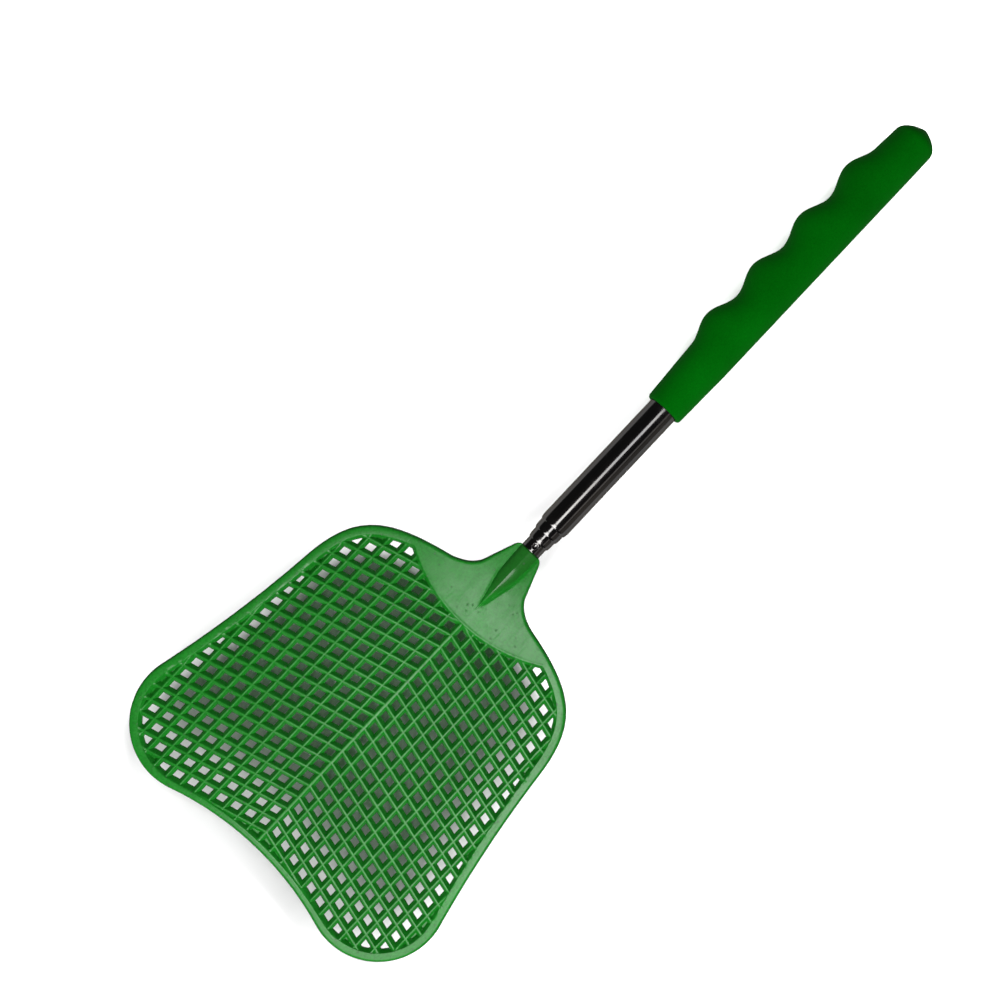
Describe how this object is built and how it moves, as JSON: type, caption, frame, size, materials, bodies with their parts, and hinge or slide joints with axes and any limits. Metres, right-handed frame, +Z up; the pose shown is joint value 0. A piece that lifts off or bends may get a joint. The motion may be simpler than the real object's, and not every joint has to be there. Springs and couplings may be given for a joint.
{
  "type": "telescopic fly swatter",
  "caption": "Telescopic fly swatter: flat moulded mesh head with a notched tip, nested steel tubes that slide and turn, and a foam grip with finger swells.",
  "frame": {"origin": "under the middle of the closed swatter, on the surface that the grip lies on", "axes": "+X along the tubes from the grip to the head's tip, +Y across the head away from the finger swells, +Z up, square to the flat head"},
  "size_m": [0.3, 0.116, 0.013],
  "materials": {
    "head_plastic": "moulded green polyethylene, satin, slightly translucent where it is thin",
    "dark_steel": "polished steel tube with a dark gunmetal plating",
    "spring_bronze": "rolled spring bronze strip",
    "plug_plastic": "black moulded nylon",
    "grip_foam": "dark green closed-cell foam rubber with a fine matt grain"
  },
  "bodies": {
    "handle": {"grip": "grip_foam", "tube_1": "dark_steel", "end_plug": "plug_plastic"},
    "shims_2": {"shim_2_left": "spring_bronze", "shim_2_right": "spring_bronze"},
    "section_2": {"tube_2": "dark_steel"},
    "shims_3": {"shim_3_left": "spring_bronze", "shim_3_right": "spring_bronze"},
    "section_3": {"tube_3": "dark_steel"},
    "shims_4": {"shim_4_left": "spring_bronze", "shim_4_right": "spring_bronze"},
    "section_4": {"tube_4": "dark_steel", "swatter_head": "head_plastic"}
  },
  "joints": [
    {"name": "tube_2_slide", "type": "slide", "parent": "handle", "child": "shims_2", "axis": [1, 0, 0], "range_m": [0, 0.1375]},
    {"name": "tube_2_turn", "type": "hinge", "parent": "shims_2", "child": "section_2", "pos_m": [0, 0, 0.0065], "axis": [1, 0, 0], "continuous": true},
    {"name": "tube_3_slide", "type": "slide", "parent": "section_2", "child": "shims_3", "axis": [1, 0, 0], "range_m": [0, 0.13]},
    {"name": "tube_3_turn", "type": "hinge", "parent": "shims_3", "child": "section_3", "pos_m": [0, 0, 0.0065], "axis": [1, 0, 0], "continuous": true},
    {"name": "tube_4_slide", "type": "slide", "parent": "section_3", "child": "shims_4", "axis": [1, 0, 0], "range_m": [0, 0.123]},
    {"name": "head_turn", "type": "hinge", "parent": "shims_4", "child": "section_4", "pos_m": [0, 0, 0.0065], "axis": [1, 0, 0], "continuous": true}
  ]
}
